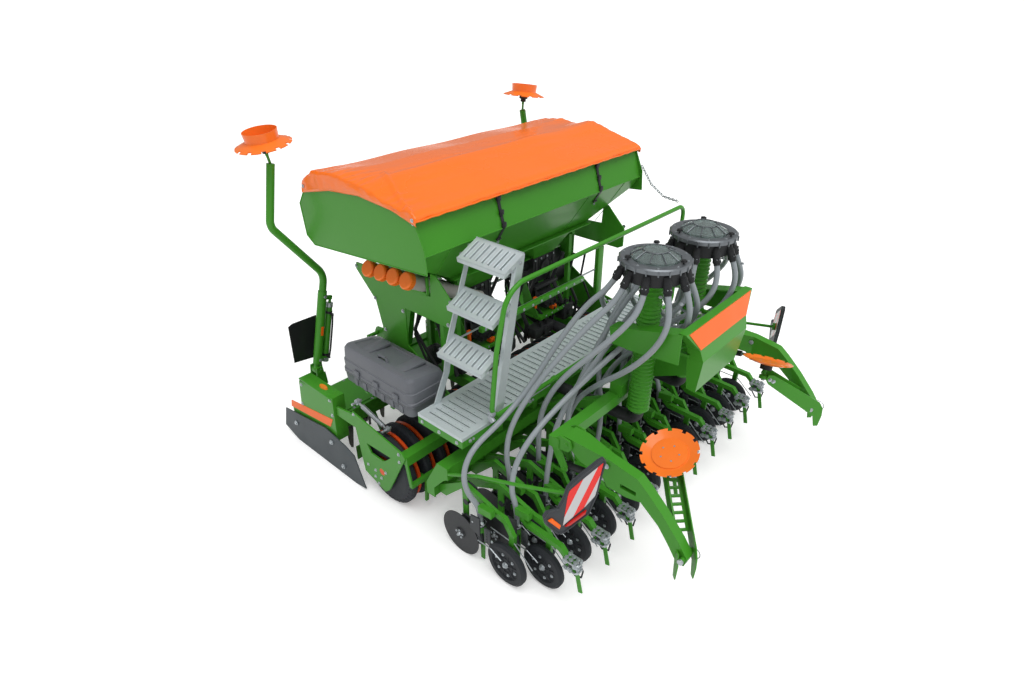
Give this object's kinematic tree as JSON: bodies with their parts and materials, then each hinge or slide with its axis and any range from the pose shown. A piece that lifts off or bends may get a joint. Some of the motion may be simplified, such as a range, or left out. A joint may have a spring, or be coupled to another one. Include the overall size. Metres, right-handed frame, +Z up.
{
  "type": "seed drill",
  "caption": "Mounted seed drill: rotary cultivator, ring roller, seed hopper with tarpaulin cover, distributor heads with hoses, rows of disc coulters, folded markers.",
  "frame": {"origin": "on the ground under the middle of the whole machine", "axes": "+X to the right, +Y in the direction of travel, +Z up"},
  "size_m": [3.1546, 3.698, 2.6584],
  "materials": {
    "green_paint": "gloss",
    "orange_plastic": "gloss",
    "tarpaulin": "satin",
    "tyre_rubber": "matt",
    "orange_steel": "satin",
    "black_wheel": "satin",
    "galvanised": "satin",
    "dark_grey_plastic": "matt",
    "dark_steel": "satin",
    "clear_plastic": "gloss",
    "grey_metal": "satin",
    "cap_plastic": "gloss",
    "board_film": "gloss",
    "hose_grey": "satin",
    "hydraulic_grey": "satin",
    "chrome_rod": "polished",
    "worn_steel": "worn"
  },
  "bodies": {
    "root": {"coulter_arms": "green_paint", "coulter_frame": "green_paint", "distributor_heads": "grey_metal", "distributor_lids": "clear_plastic", "fan_and_ducts": "black_wheel", "gantry": "green_paint", "gear_trough": "green_paint", "gearbox": "green_paint", "handrail": "green_paint", "harrow_arms": "green_paint", "harrow_clamps": "galvanised", "headstock": "green_paint", "hopper": "green_paint", "hopper_cover": "tarpaulin", "hopper_frame": "green_paint", "ladder": "galvanised", "metering_units": "dark_steel", "platform_deck": "galvanised", "platform_frame": "green_paint", "risers": "green_paint", "roller_frame": "green_paint", "safety_chain": "galvanised", "seed_hoses": "hose_grey", "side_plates": "dark_steel", "sign_plates": "orange_plastic", "storage_box": "dark_grey_plastic", "storage_tubes": "cap_plastic", "warning_boards": "board_film"},
    "roller": {"roller_tyres": "tyre_rubber", "roller_drum": "orange_steel"},
    "front_press_wheels": {"press_wheels_front": "black_wheel"},
    "rear_press_wheels": {"press_wheels_rear": "black_wheel"},
    "front_discs": {"discs_front": "black_wheel"},
    "rear_discs": {"discs_rear": "black_wheel"},
    "box_lid": {"storage_box_lid": "dark_grey_plastic"},
    "rotor_01": {"rotor_01": "worn_steel"},
    "rotor_02": {"rotor_02": "worn_steel"},
    "rotor_03": {"rotor_03": "worn_steel"},
    "rotor_04": {"rotor_04": "worn_steel"},
    "rotor_05": {"rotor_05": "worn_steel"},
    "rotor_06": {"rotor_06": "worn_steel"},
    "rotor_07": {"rotor_07": "worn_steel"},
    "rotor_08": {"rotor_08": "worn_steel"},
    "rotor_09": {"rotor_09": "worn_steel"},
    "rotor_10": {"rotor_10": "worn_steel"},
    "marker_left": {"marker_arm_left": "green_paint"},
    "marker_wheel_left": {"marker_disc_left": "orange_plastic"},
    "tramline_left": {"tramline_arm_left": "green_paint"},
    "tramline_left_disc_arm": {"tramline_disc_arm_left": "green_paint"},
    "tramline_left_disc": {"tramline_disc_left": "orange_plastic"},
    "tramline_left_barrel": {"tramline_barrel_left": "hydraulic_grey"},
    "tramline_left_rod": {"tramline_rod_left": "chrome_rod"},
    "marker_right": {"marker_arm_right": "green_paint"},
    "marker_wheel_right": {"marker_disc_right": "orange_plastic"},
    "tramline_right": {"tramline_arm_right": "green_paint"},
    "tramline_right_disc_arm": {"tramline_disc_arm_right": "green_paint"},
    "tramline_right_disc": {"tramline_disc_right": "orange_plastic"},
    "tramline_right_barrel": {"tramline_barrel_right": "hydraulic_grey"},
    "tramline_right_rod": {"tramline_rod_right": "chrome_rod"}
  },
  "joints": [
    {"name": "roller_spin", "type": "hinge", "parent": "root", "child": "roller", "pos_m": [0, 0.47, 0.3], "axis": [1, 0, 0], "continuous": true},
    {"name": "front_press_wheels_spin", "type": "hinge", "parent": "root", "child": "front_press_wheels", "pos_m": [0, -0.741, 0.165], "axis": [1, 0, 0], "continuous": true},
    {"name": "rear_press_wheels_spin", "type": "hinge", "parent": "root", "child": "rear_press_wheels", "pos_m": [0, -0.933, 0.165], "axis": [1, 0, 0], "continuous": true},
    {"name": "front_discs_spin", "type": "hinge", "parent": "root", "child": "front_discs", "pos_m": [0, -0.321, 0.178], "axis": [1, 0, 0], "continuous": true},
    {"name": "rear_discs_spin", "type": "hinge", "parent": "root", "child": "rear_discs", "pos_m": [0, -0.513, 0.178], "axis": [1, 0, 0], "continuous": true},
    {"name": "box_lid_hinge", "type": "hinge", "parent": "root", "child": "box_lid", "pos_m": [-1.215, 0.94, 0.967], "axis": [-1, 0, 0], "range_deg": [0, 45]},
    {"name": "rotor_01_spin", "type": "hinge", "parent": "root", "child": "rotor_01", "pos_m": [-1.35, 1.29, 0.25], "axis": [0, 0, 1], "continuous": true},
    {"name": "rotor_02_spin", "type": "hinge", "parent": "root", "child": "rotor_02", "pos_m": [-1.05, 1.29, 0.25], "axis": [0, 0, 1], "continuous": true},
    {"name": "rotor_03_spin", "type": "hinge", "parent": "root", "child": "rotor_03", "pos_m": [-0.75, 1.29, 0.25], "axis": [0, 0, 1], "continuous": true},
    {"name": "rotor_04_spin", "type": "hinge", "parent": "root", "child": "rotor_04", "pos_m": [-0.45, 1.29, 0.25], "axis": [0, 0, 1], "continuous": true},
    {"name": "rotor_05_spin", "type": "hinge", "parent": "root", "child": "rotor_05", "pos_m": [-0.15, 1.29, 0.25], "axis": [0, 0, 1], "continuous": true},
    {"name": "rotor_06_spin", "type": "hinge", "parent": "root", "child": "rotor_06", "pos_m": [0.15, 1.29, 0.25], "axis": [0, 0, 1], "continuous": true},
    {"name": "rotor_07_spin", "type": "hinge", "parent": "root", "child": "rotor_07", "pos_m": [0.45, 1.29, 0.25], "axis": [0, 0, 1], "continuous": true},
    {"name": "rotor_08_spin", "type": "hinge", "parent": "root", "child": "rotor_08", "pos_m": [0.75, 1.29, 0.25], "axis": [0, 0, 1], "continuous": true},
    {"name": "rotor_09_spin", "type": "hinge", "parent": "root", "child": "rotor_09", "pos_m": [1.05, 1.29, 0.25], "axis": [0, 0, 1], "continuous": true},
    {"name": "rotor_10_spin", "type": "hinge", "parent": "root", "child": "rotor_10", "pos_m": [1.35, 1.29, 0.25], "axis": [0, 0, 1], "continuous": true},
    {"name": "marker_left_fold", "type": "hinge", "parent": "root", "child": "marker_left", "pos_m": [-1.28, 1.59, 0.64], "axis": [0, -1, 0], "range_deg": [0, 100]},
    {"name": "marker_left_disc_spin", "type": "hinge", "parent": "marker_left", "child": "marker_wheel_left", "pos_m": [-1.384, 1.596, 2.572], "axis": [-0.14, 0, 0.9901], "continuous": true},
    {"name": "tramline_left_lower", "type": "hinge", "parent": "root", "child": "tramline_left", "pos_m": [-1, -0.902, 1.032], "axis": [1, 0, 0], "range_deg": [0, 18]},
    {"name": "tramline_left_unfold", "type": "hinge", "parent": "tramline_left", "child": "tramline_left_disc_arm", "pos_m": [-1, -1.76, 0.655], "axis": [1, 0, 0], "range_deg": [0, 125]},
    {"name": "tramline_left_disc_spin", "type": "hinge", "parent": "tramline_left_disc_arm", "child": "tramline_left_disc", "pos_m": [-0.711, -1.433, 1.047], "axis": [-0.3514, 0.0703, 0.9336], "continuous": true},
    {"name": "tramline_left_cylinder_swing", "type": "hinge", "parent": "root", "child": "tramline_left_barrel", "pos_m": [-1, -0.89, 0.83], "axis": [1, 0, 0], "range_deg": [0, 17.5]},
    {"name": "tramline_left_rod_slide", "type": "slide", "parent": "tramline_left_barrel", "child": "tramline_left_rod", "axis": [0, 0.9832, -0.1826], "range_m": [0, 0.07]},
    {"name": "marker_right_fold", "type": "hinge", "parent": "root", "child": "marker_right", "pos_m": [1.28, 1.59, 0.64], "axis": [0, 1, 0], "range_deg": [0, 100]},
    {"name": "marker_right_disc_spin", "type": "hinge", "parent": "marker_right", "child": "marker_wheel_right", "pos_m": [1.384, 1.596, 2.572], "axis": [0.14, 0, 0.9901], "continuous": true},
    {"name": "tramline_right_lower", "type": "hinge", "parent": "root", "child": "tramline_right", "pos_m": [1, -0.902, 1.032], "axis": [1, 0, 0], "range_deg": [0, 18]},
    {"name": "tramline_right_unfold", "type": "hinge", "parent": "tramline_right", "child": "tramline_right_disc_arm", "pos_m": [1, -1.76, 0.655], "axis": [1, 0, 0], "range_deg": [0, 125]},
    {"name": "tramline_right_disc_spin", "type": "hinge", "parent": "tramline_right_disc_arm", "child": "tramline_right_disc", "pos_m": [0.711, -1.433, 1.047], "axis": [0.3514, 0.0703, 0.9336], "continuous": true},
    {"name": "tramline_right_cylinder_swing", "type": "hinge", "parent": "root", "child": "tramline_right_barrel", "pos_m": [1, -0.89, 0.83], "axis": [1, 0, 0], "range_deg": [0, 17.5]},
    {"name": "tramline_right_rod_slide", "type": "slide", "parent": "tramline_right_barrel", "child": "tramline_right_rod", "axis": [0, 0.9832, -0.1826], "range_m": [0, 0.07]}
  ],
  "couplings": [
    {"joint": "rotor_02_spin", "follows": "rotor_01_spin", "ratio": -1},
    {"joint": "rotor_03_spin", "follows": "rotor_01_spin", "ratio": 1},
    {"joint": "rotor_04_spin", "follows": "rotor_01_spin", "ratio": -1},
    {"joint": "rotor_05_spin", "follows": "rotor_01_spin", "ratio": 1},
    {"joint": "rotor_06_spin", "follows": "rotor_01_spin", "ratio": -1},
    {"joint": "rotor_07_spin", "follows": "rotor_01_spin", "ratio": 1},
    {"joint": "rotor_08_spin", "follows": "rotor_01_spin", "ratio": -1},
    {"joint": "rotor_09_spin", "follows": "rotor_01_spin", "ratio": 1},
    {"joint": "rotor_10_spin", "follows": "rotor_01_spin", "ratio": -1},
    {"joint": "tramline_left_cylinder_swing", "follows": "tramline_left_lower", "ratio": 0.9444},
    {"joint": "tramline_left_rod_slide", "follows": "tramline_left_lower", "m_per_rad": 0.2005},
    {"joint": "tramline_right_cylinder_swing", "follows": "tramline_right_lower", "ratio": 0.9444},
    {"joint": "tramline_right_rod_slide", "follows": "tramline_right_lower", "m_per_rad": 0.2005}
  ]
}
